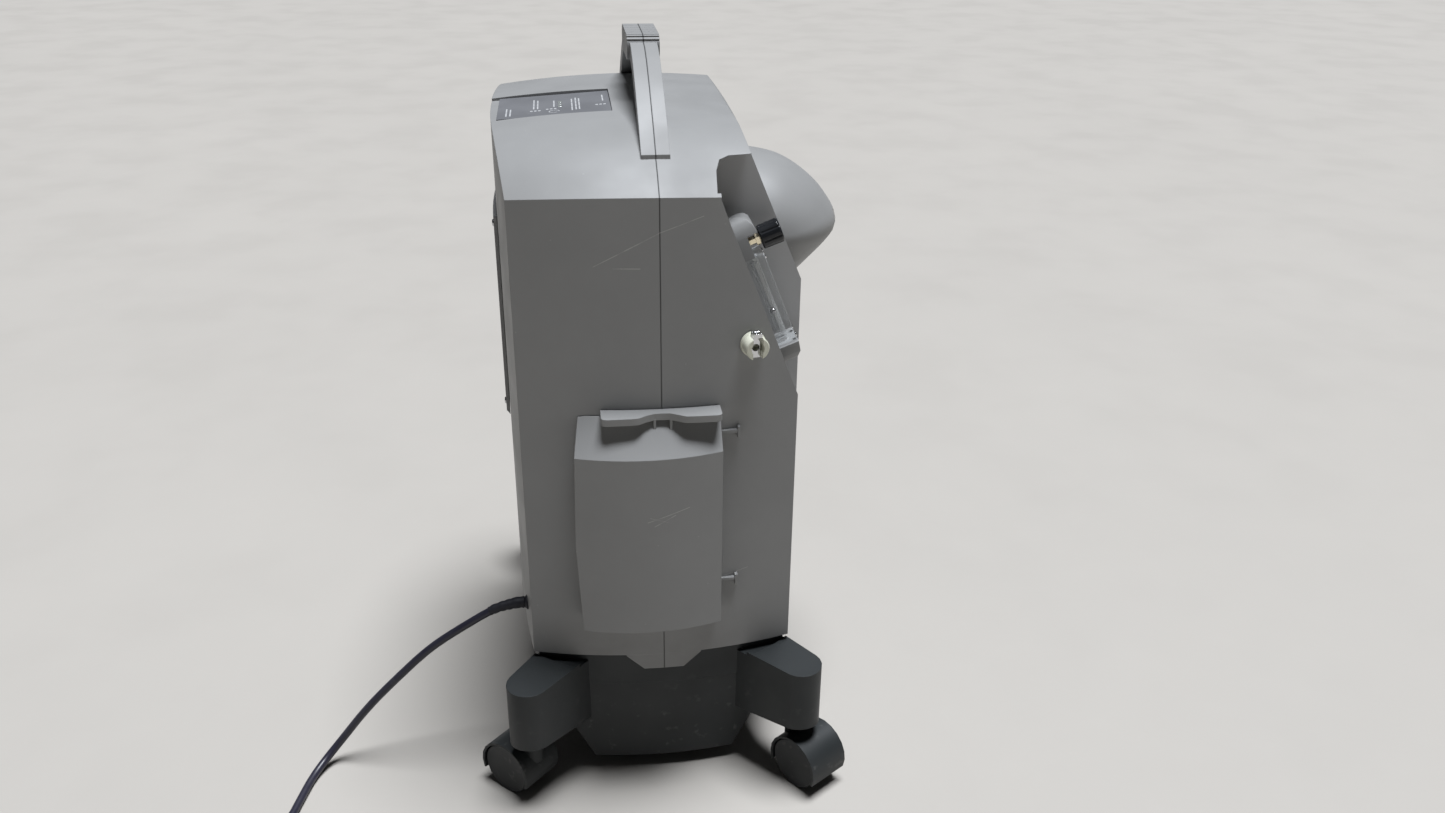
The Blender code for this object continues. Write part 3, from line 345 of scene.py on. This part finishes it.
def shell_finish():
    """The casing's grey plastic: dirt and painted shade in the seam, painted light on the wall behind the flow
    knob, scratches, and dulled low down by use.
    """
    made = moulded("shell_plastic", SHELL_GREY, 0.5)
    grime = made.math("MULTIPLY", made.remap(made.place_along("Z"), 0.2, 0.12),
                      made.remap(made.noise(0.02, 5.0), 0.4, 0.7))
    made.tint(made.math("MULTIPLY", grime, 0.35), (0.16, 0.155, 0.145))
    # Dirt with painted shade: a dark line along the seam stands in for the shadow in the gap between the halves.
    off_seam = made.math("ABSOLUTE", made.math("SUBTRACT", made.place_along("X"), SEAM_X))
    seam = made.remap(off_seam, 0.0009, 0.0003)
    off_door = made.remap(made.place_along("Y"), -0.19, -0.1896)
    made.tint(made.math("MULTIPLY", made.math("MULTIPLY", seam, off_door), 0.55), (0.05, 0.05, 0.05))
    # Painted light: the wall behind the flow knob, shaded in its niche, is tinted paler.
    made.tint(made.math("MULTIPLY", niche_wall_painted_light(made), 0.75), (0.5, 0.5, 0.5))
    specks = made.remap(made.cells(0.019), 0.045, 0.02)
    made.tint(made.math("MULTIPLY", specks, 0.18), (0.55, 0.55, 0.54))
    lines = [
        ((-0.0563, 0.5071), (-0.0312, 0.5202), 0.0005), ((-0.0312, 0.5202), (-0.004, 0.5341), 0.0006),
        ((-0.004, 0.5341), (0.0303, 0.5463), 0.0004), ((-0.0409, 0.5056), (-0.0199, 0.5053), 0.0006),
        ((-0.0188, 0.2914), (0.0165, 0.3027), 0.0005), ((-0.013, 0.2871), (0.0047, 0.2967), 0.0005),
        ((-0.0165, 0.2955), (-0.002, 0.2905), 0.0004), ((0.047, 0.2135), (0.072, 0.2195), 0.0004),
    ]
    for start, end, width in lines:
        made.tint(made.math("MULTIPLY", made.scratch(start, end, width), 0.45), (0.56, 0.55, 0.53))
    return made.material


def brushed(name, colour, rough, along_axis=2):
    """Bare metal with fine drawn lines."""
    made = Finish(name, colour, rough, Metallic=1.0)
    made.soft_edges(0.0003)
    stretch = [6.0, 6.0, 6.0]
    stretch[along_axis] = 0.4
    lines = made.noise(0.0008, 4.0, stretch)
    made.rough(lines, rough - 0.06, rough + 0.1)
    made.vary(0.01, 0.12)
    made.bump(lines, 0.00001)
    return made.material


def polished(name, colour, rough, metallic=1.0):
    """Plated or turned metal with faint smears."""
    made = Finish(name, colour, rough, Metallic=metallic)
    edge_mask = made.soft_edges(0.0003)
    made.tint(made.math("MULTIPLY", edge_mask, 0.3), tuple(min(1.0, c * 1.3) for c in colour))
    made.vary(0.004, 0.15, 3.0)
    made.rough(made.noise(0.005, 4.0), rough, rough + 0.12)
    made.bump(made.noise(0.003), 0.00002)
    return made.material


def clear_finish():
    """Clear acrylic: see-through face on, with a pale layer thicker at grazing angles as a painted sheen, and
    edges painted bright as highlights.
    """
    made = Finish("clear_acrylic", (0.6, 0.63, 0.64), 0.06, Specular_IOR_Level=0.9)
    edge_mask = made.soft_edges(0.0012)
    made.vary(0.01, 0.1)
    # Painted highlight: the edges are tinted near white, and below they are also made more opaque.
    made.tint(edge_mask, (0.88, 0.9, 0.91))
    made.rough(made.noise(0.006, 4.0, (1, 1, 4)), 0.03, 0.14)
    made.bump(made.noise(0.01), 0.00003)
    # Painted sheen: a pale grey layer shows more at grazing angles, where reflection would be.
    facing = made.add("ShaderNodeLayerWeight")
    facing.inputs["Blend"].default_value = 0.35
    grazing_sheen = made.remap(facing.outputs["Facing"], 0.1, 0.85, 0.07, 0.5)
    made.join(made.math("MAXIMUM", grazing_sheen, made.math("MULTIPLY", edge_mask, 0.7)), made.shader.inputs["Alpha"])
    return made.material


def foam_finish(name, colour):
    """Open-cell foam."""
    made = Finish(name, colour, 0.95, Sheen_Weight=0.2)
    made.vary(0.006, 0.3)
    made.bump(made.cells(0.0016), 0.0009)
    return made.material


def cord_finish():
    """PVC sheath: smooth, slightly glossy, a little blue in its black."""
    made = Finish("cord_sheath", (0.022, 0.021, 0.034), 0.36)
    made.vary(0.02, 0.3)
    made.tint(made.remap(made.noise(0.006, 5.0), 0.62, 0.75, 0.0, 0.12), (0.12, 0.12, 0.12))
    made.rough(made.noise(0.01), 0.3, 0.46)
    made.bump(made.noise(0.0015), 0.00004)
    return made.material


def board_finish():
    """Green lacquered board with pale pads."""
    made = Finish("circuit_board", (0.015, 0.11, 0.05), 0.3, Coat_Weight=0.3)
    made.soft_edges(0.0003)
    made.tint(made.remap(made.cells(0.006), 0.2, 0.1, 0.0, 0.6), (0.3, 0.25, 0.1))
    made.rough(made.noise(0.01), 0.25, 0.4)
    return made.material


def panel_finish():
    """Satin printed film: dark grey, a little paler where hands have polished it."""
    made = Finish("panel_film", (0.16, 0.162, 0.171), 0.36)
    made.soft_edges(0.0004)
    made.vary(0.03, 0.2)
    made.tint(made.remap(made.noise(0.012, 4.0), 0.6, 0.78, 0.0, 0.2), (0.3, 0.3, 0.3))
    made.rough(made.noise(0.02, 4.0), 0.32, 0.5)
    made.bump(made.noise(0.0004, 1.0), 0.00001)
    return made.material


def cast_finish():
    """Sand-cast aluminium."""
    return moulded("cast_aluminium", (0.5, 0.51, 0.52), 0.5, 0.0012, 0.00008, Metallic=1.0).material


def tyre_finish():
    """Nylon wheel: dull black, scuffed grey where it rolls, dusty."""
    made = moulded("caster_tread", (0.024, 0.026, 0.027), 0.52, edge_wear_and_highlight=0.2)
    made.tint(made.remap(made.noise(0.004, 5.0), 0.6, 0.75, 0.0, 0.35), (0.13, 0.13, 0.12))
    return made.material


def base_finish():
    """The base's charcoal plastic, with pale scuffs towards the floor."""
    # Painted highlight with scuffing: the stronger edge paling here gives the arms' rims bright lines.
    made = moulded("black_plastic", CHARCOAL, 0.5, edge_wear_and_highlight=0.3)
    scuff = made.math("MULTIPLY", made.remap(made.noise(0.005, 5.0), 0.6, 0.75),
                      made.remap(made.place_along("Z"), 0.13, 0.02))
    made.tint(made.math("MULTIPLY", scuff, 0.4), (0.14, 0.14, 0.135))
    return made.material


def finishes():
    """One material for each slot in the record."""
    return {
        "shell_plastic": shell_finish(),
        "panel_film": panel_finish(),
        "display_glass": polished("display_glass", (0.012, 0.015, 0.018), 0.06, 0.0),
        "black_plastic": base_finish(),
        "knob_plastic": moulded("knob_plastic", (0.012, 0.013, 0.015), 0.2, 0.0008, 0.00001, 0.0006).material,
        "clear_acrylic": clear_finish(),
        "scale_white": moulded("scale_white", (0.93, 0.94, 0.93), 0.4).material,
        "steel": polished("steel", (0.5, 0.5, 0.51), 0.18),
        "brass": polished("brass", (0.88, 0.78, 0.58), 0.2),
        "chrome": polished("chrome", (0.66, 0.66, 0.67), 0.1),
        "ivory_plastic": moulded("ivory_plastic", (0.66, 0.66, 0.55), 0.4).material,
        "filter_foam": foam_finish("filter_foam", (0.05, 0.05, 0.055)),
        "rocker_plastic": moulded("rocker_plastic", (0.03, 0.2, 0.08), 0.3).material,
        "white_plastic": moulded("white_plastic", (0.68, 0.68, 0.66), 0.42).material,
        "moulded_rubber": moulded("moulded_rubber", (0.02, 0.02, 0.026), 0.55, 0.0006, 0.00005).material,
        "cord_sheath": cord_finish(),
        "caster_tread": tyre_finish(),
        "zinc_plate": brushed("zinc_plate", (0.55, 0.56, 0.58), 0.34, 0),
        "cast_aluminium": cast_finish(),
        "circuit_board": board_finish(),
    }


def soften_group():
    """Geometry nodes that weld a mesh and shade it smooth except across its real edges."""
    group = bpy.data.node_groups.new("soften", "GeometryNodeTree")
    group.interface.new_socket("Geometry", in_out="INPUT", socket_type="NodeSocketGeometry")
    group.interface.new_socket("Geometry", in_out="OUTPUT", socket_type="NodeSocketGeometry")
    bare = group.nodes.new("GeometryNodeRemoveAttribute")
    bare.inputs["Name"].default_value = "custom_normal"
    weld = group.nodes.new("GeometryNodeMergeByDistance")
    weld.inputs["Distance"].default_value = 0.00002
    faces = group.nodes.new("GeometryNodeSetShadeSmooth")
    edges = group.nodes.new("GeometryNodeSetShadeSmooth")
    edges.domain = "EDGE"
    angle = group.nodes.new("GeometryNodeInputMeshEdgeAngle")
    shallow = group.nodes.new("FunctionNodeCompare")
    shallow.operation = "LESS_THAN"
    shallow.inputs["B"].default_value = math.radians(32)
    chain = [group.nodes.new("NodeGroupInput"), bare, weld, faces, edges, group.nodes.new("NodeGroupOutput")]
    for before, after in zip(chain, chain[1:]):
        group.links.new(before.outputs[0], after.inputs[0])
    group.links.new(angle.outputs["Unsigned Angle"], shallow.inputs["A"])
    group.links.new(shallow.outputs["Result"], edges.inputs["Shade Smooth"])
    return group


def dress_nodes(paints):
    """Gives every CAD node its finish and its shading."""
    soften = soften_group()
    slots = {part["node"]: part["material_slot"] for part in frame["record"]["subparts"]}
    for name, node in NODES.items():
        node.data.materials.clear()
        node.data.materials.append(paints[slots[name]])
        step = node.modifiers.new("soften", "NODES")
        step.node_group = soften


# ---------------------------------------------------------------- mains lead

def lead_knots():
    """Where the lead runs from its gland down to the floor and on to its coil, as in the CAD source."""
    knots = [(-125.257, -139, 168), (-133, -139, 167.6), (-150, -139, 163.5), (-176, -139, 149),
             (-213, -139, 124), (-246, -138.5, 93), (-279, -138, 58), (-302, -138.5, 29), (-318, -143, 11),
             (-329, -159, 4.7), (-336, -187, 4.1), (-342, -215, 4.1), (-352.5, -238, 4.1),
             (-366.8, -260.5, 4.1)]
    return [Vector((x - DRAWING_SHIFT, y, z)) * MM for x, y, z in knots]


def smooth_line(knots, spacing):
    """A Catmull-Rom line through the knots, with points about `spacing` apart."""
    line = []
    for i in range(len(knots) - 1):
        a, b, c, d = (knots[min(max(k, 0), len(knots) - 1)] for k in (i - 1, i, i + 1, i + 2))
        steps = max(1, round((c - b).length / spacing))
        for k in range(steps):
            t = k / steps
            line.append(0.5 * ((2 * b) + (c - a) * t + (2 * a - 5 * b + 4 * c - d) * t * t
                               + (3 * b - a - 3 * c + d) * t ** 3))
    return line + [knots[-1]]


def coil_points():
    """Four turns inwards on the floor, then four outwards on top of them, ending at the coil's near side."""
    pitch = CORD_D * 1.01
    columns = [1.5, 0.5, -0.5, -1.5]
    low, high = CORD_D / 2 + 0.0004, CORD_D * 1.5 + 0.0006
    slots = [(c, low) for c in columns] + [(c, high) for c in reversed(columns)]
    begin, leave = math.radians(150), math.radians(270)
    points = []
    total = LAST_TURN * 2 * math.pi + leave - begin
    steps = round(total / (2 * math.pi) * TURN_POINTS)
    for k in range(1, steps + 1):
        turned = total * k / steps / (2 * math.pi)
        now = min(LAST_TURN, int(turned))
        share = min(1.0, (turned - now) / COIL_EASE)
        ease = share * share * (3 - 2 * share)
        before = slots[now - 1] if now else (columns[0] + COIL_START / pitch, low)
        column = before[0] + (slots[now][0] - before[0]) * ease
        level = before[1] + (slots[now][1] - before[1]) * ease
        angle = begin + total * k / steps
        radius = COIL_TURN + column * pitch
        points.append(COIL_MID + Vector((radius * math.cos(angle), radius * math.sin(angle), level)))
    return points


def tail_points():
    """From the coil's last turn down to the back of the plug."""
    start = COIL_MID + Vector((0.0, -COIL_TURN - 1.5 * CORD_D, CORD_D * 1.5))
    into_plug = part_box("plug_body")[0].x + 0.002
    steps = 6
    return [Vector((start.x + (into_plug - start.x) * k / steps, start.y, start.z - 0.0012 * k / steps))
            for k in range(1, steps + 1)]


def make_lead(paint):
    """The lead as one curve from gland to plug in place of its CAD solids, eased where it meets the floor."""
    drop = smooth_line(lead_knots(), KNOT_SPACING)
    first, last = FLOOR_BEND
    eased = [(a + 2 * b + c) / 4 for a, b, c in zip(drop[first - 1:], drop[first:last], drop[first + 1:])]
    route = drop[:first] + eased + drop[last:] + coil_points() + tail_points()
    curve = bpy.data.curves.new("power_lead", "CURVE")
    curve.dimensions = "3D"
    curve.bevel_depth = CORD_D / 2
    curve.bevel_resolution = 5
    curve.resolution_u = 3
    curve.use_fill_caps = True
    line = curve.splines.new("BEZIER")
    line.bezier_points.add(len(route) - 1)
    for knot, point in zip(line.bezier_points, route):
        knot.co = point
        knot.handle_left_type = "AUTO"
        knot.handle_right_type = "AUTO"
    curve.materials.append(paint)
    lead = bpy.data.objects.new("power_lead", curve)
    bpy.context.scene.collection.objects.link(lead)
    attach(lead, "casing")
    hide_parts("mains_lead", "lead_coil", "lead_tail")
    return lead, route


def make_strain_relief(route, paint):
    """The tapered, ribbed sleeve round about the first 34 mm of the lead, where it leaves the rear wall."""
    soup = bmesh.new()
    steps = 15
    reach = 17
    line = smooth_line(route[:6], 0.002)
    turns = [math.pi * a / 12 for a in range(24)]
    rings = []
    for k in range(steps + 1):
        share = k / steps
        here = round(share * reach)
        at = line[here]
        ahead = (line[here + 1] - at).normalized()
        lean = ahead.to_track_quat("Z", "Y").to_matrix().to_4x4()
        radius = 0.0056 - 0.0013 * share - (0.0005 if k % 3 == 2 else 0.0)
        place = Matrix.Translation(at) @ lean
        rings.append([place @ Vector((radius * math.cos(a), radius * math.sin(a), 0)) for a in turns])
    skin_rings(soup, rings)
    return mesh_piece("lead_strain_relief", soup, paint, "casing", 60)


def make_cord(paints):
    """The lead with its sleeve, the lead ending inside the plug."""
    lead, route = make_lead(paints["cord_sheath"])
    relief = make_strain_relief(route, paints["moulded_rubber"])


# ---------------------------------------------------------------- fine details

def panel_place(x, y):
    """A placing on the control panel's top face, X towards the front and Z out of the panel."""
    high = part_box("control_panel")[1]
    height = high.z - PANEL_RISE * (high.x - x)
    out = Vector((-PANEL_RISE, 0, 1)).normalized()
    ahead = Vector((1, 0, PANEL_RISE)).normalized()
    turn = Matrix((ahead, out.cross(ahead), out)).transposed().to_4x4()
    return Matrix.Translation((x, y, height - INK / 4)) @ turn


def add_bars(soup, low, high):
    """Lines of print, as rows of bars: how far across the panel, and where each starts and stops down it."""
    wide, deep = high.x - low.x, high.y - low.y
    bars = [(0.08, 0.54, 0.9), (0.115, 0.58, 0.9), (0.32, 0.2, 0.66), (0.355, 0.24, 0.66), (0.5, 0.3, 0.62),
            (0.66, 0.28, 0.84), (0.695, 0.24, 0.82), (0.725, 0.28, 0.82), (0.94, 0.2, 0.5)]
    for across, start, stop in bars:
        x = low.x + across * wide
        y = high.y - deep * (start + stop) / 2
        pieces = max(1, round((stop - start) / 0.16))
        span = deep * (stop - start) / pieces
        for k in range(pieces):
            place = panel_place(x, y + span * (k - (pieces - 1) / 2))
            add_tile(soup, place, 0.0006, span * 0.46, INK)


def add_symbols(soup, low, high):
    """Three rows of squares, and a dashed ring with a gap in it."""
    wide, deep = high.x - low.x, high.y - low.y
    for across, down in ((0.3, 0.74), (0.44, 0.7), (0.88, 0.66)):
        for k in range(3):
            place = panel_place(low.x + (across + 0.035 * k) * wide, high.y - deep * down)
            add_tile(soup, place, 0.0011, 0.0016, INK)
    centre = panel_place(low.x + 0.5 * wide, high.y - deep * 0.82)
    ring = 0.0042
    for k in range(14):
        turn = 2 * math.pi * k / 16
        spot = centre @ Matrix.Translation((ring * math.cos(turn), ring * math.sin(turn), 0))
        add_tile(soup, spot @ Matrix.Rotation(turn, 4, "Z"), 0.0004, 0.0009, INK)


def make_panel_marks():
    """Printed bars and plain symbols on the control panel. They spell nothing."""
    low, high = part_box("control_panel")
    soup = bmesh.new()
    add_bars(soup, low, high)
    add_symbols(soup, low, high)
    print_ink = moulded("print_white", (0.45, 0.455, 0.46), 0.45, edge=0.0001)
    mesh_piece("panel_marks", soup, print_ink.material, "casing")


def make_lamps():
    """The control panel's three lamps, in their wells."""
    lamps = bmesh.new()
    for k in range(3):
        place = panel_place(LAMP_X, LAMP_Y + LAMP_STEP * k) @ Matrix.Translation((0, 0, -0.0004))
        add_tile(lamps, place, 0.0018, 0.0018, 0.0007, 0.5)
    mesh_piece("panel_lamps", lamps, lamp_finish(), "casing")


def lamp_finish():
    """Frosted, faceted lamp lens."""
    made = Finish("lamp_lens", (0.3, 0.32, 0.29), 0.16, Coat_Weight=0.4)
    made.vary(0.002, 0.3)
    made.bump(made.cells(0.0009), 0.00005)
    return made.material


def meter_place(down, aside, out):
    """A placing in the flowmeter's frame: down its slope, to the far side and out, in mm from the valve."""
    pin = PINS["flow_knob_turn"]
    axis = Vector(pin["axis"])
    slope = Vector((axis.z, 0, -axis.x))
    side = axis.cross(slope)
    at = Vector(pin["pos_m"]) + (slope * down + side * aside + axis * (out - KNOB_OUT)) * MM
    return Matrix.Translation(at) @ Matrix((slope, side, axis)).transposed().to_4x4()


def make_meter_details(paints):
    """Tick marks on the scale, and two bright screws at each end of the clear block."""
    ticks = bmesh.new()
    for k in range(19):
        long_one = k % 3 == 0
        place = meter_place(20.0 + 3.6 * k, 6.25 if long_one else 6.5, 11.2)
        add_tile(ticks, place, 0.00028, 0.0009 if long_one else 0.0006, INK)
    dark = moulded("print_dark", (0.02, 0.02, 0.024), 0.45, edge=0.0001)
    mesh_piece("scale_ticks", ticks, dark.material, "casing")
    screws = bmesh.new()
    head = [(0.0021, -0.0002), (0.0021, 0.0006), (0.0017, 0.001), (0.0009, 0.001), (0.0008, 0.0005)]
    for down in (13.5, 88.6):
        for aside in (-8.5, 8.5):
            add_turned(screws, meter_place(down, aside, 17.0), head, 18)
    mesh_piece("meter_end_screws", screws, paints["chrome"], "casing")


def make_screws(paints):
    """Screws with a round dimple, at the service panel's corners."""
    low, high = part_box("rear_panel")
    head = [(0.0031, -0.0003), (0.0031, 0.0004), (0.0026, 0.0011), (0.0011, 0.0014), (0.0009, 0.0006)]
    turn = Vector((-1, 0, 0)).to_track_quat("Z", "Y").to_matrix().to_4x4()
    soup = bmesh.new()
    for y in (low.y + 0.006, high.y - 0.006):
        for z in (low.z + 0.012, high.z - 0.007):
            bow = REAR_BOW * (1 - (y / HALF_WIDTH) ** 2)
            at = Vector((REAR_X - bow - PANEL_PROUD - DRAWING_SHIFT * MM, y, z))
            add_turned(soup, Matrix.Translation(at) @ turn, head, 20)
    mesh_piece("panel_screws", soup, paints["steel"], "casing")


# ---------------------------------------------------------------- stage

def floor_finish():
    """Pale matt sheet with faint smudges."""
    made = Finish("floor_sheet", (0.388, 0.366, 0.335), 0.8)
    made.vary(0.35, 0.06)
    made.vary(0.03, 0.03, 5.0)
    made.rough(made.noise(0.1), 0.6, 0.8)
    made.bump(made.noise(0.004, 4.0), 0.0001)
    return made.material


def make_floor():
    """One square sheet, far wider than the picture."""
    soup = bmesh.new()
    half = 30.0
    corners = ((-half, -half), (half, -half), (half, half), (-half, half))
    soup.faces.new([soup.verts.new((x, y, 0.0)) for x, y in corners])
    mesh = bpy.data.meshes.new("floor")
    soup.to_mesh(mesh)
    soup.free()
    mesh.materials.append(floor_finish())
    floor = bpy.data.objects.new("floor", mesh)
    bpy.context.scene.collection.objects.link(floor)


def make_light():
    """A broad, even light from straight overhead, a little to the right, and a weak even surround."""
    data = bpy.data.lights.new("overhead", "SUN")
    data.energy = OVERHEAD
    data.angle = math.radians(OVERHEAD_SPREAD)
    data.color = (0.95, 0.985, 1.04)
    light = bpy.data.objects.new("overhead", data)
    bpy.context.scene.collection.objects.link(light)
    light.rotation_mode = "QUATERNION"
    light.rotation_quaternion = Vector((-0.14, 0.0, -1.0)).to_track_quat("-Z", "Y")
    world = bpy.data.worlds.new("surround")
    bpy.context.scene.world = world
    world.use_nodes = True
    backdrop = world.node_tree.nodes["Background"]
    backdrop.inputs["Color"].default_value = (0.92, 0.95, 1.0, 1.0)
    backdrop.inputs["Strength"].default_value = SURROUND


make_camera()
paints = finishes()
make_cord(paints)
dress_nodes(paints)
make_panel_marks()
make_lamps()
make_meter_details(paints)
make_screws(paints)
make_floor()
make_light()
bpy.context.scene.view_settings.view_transform = "Standard"
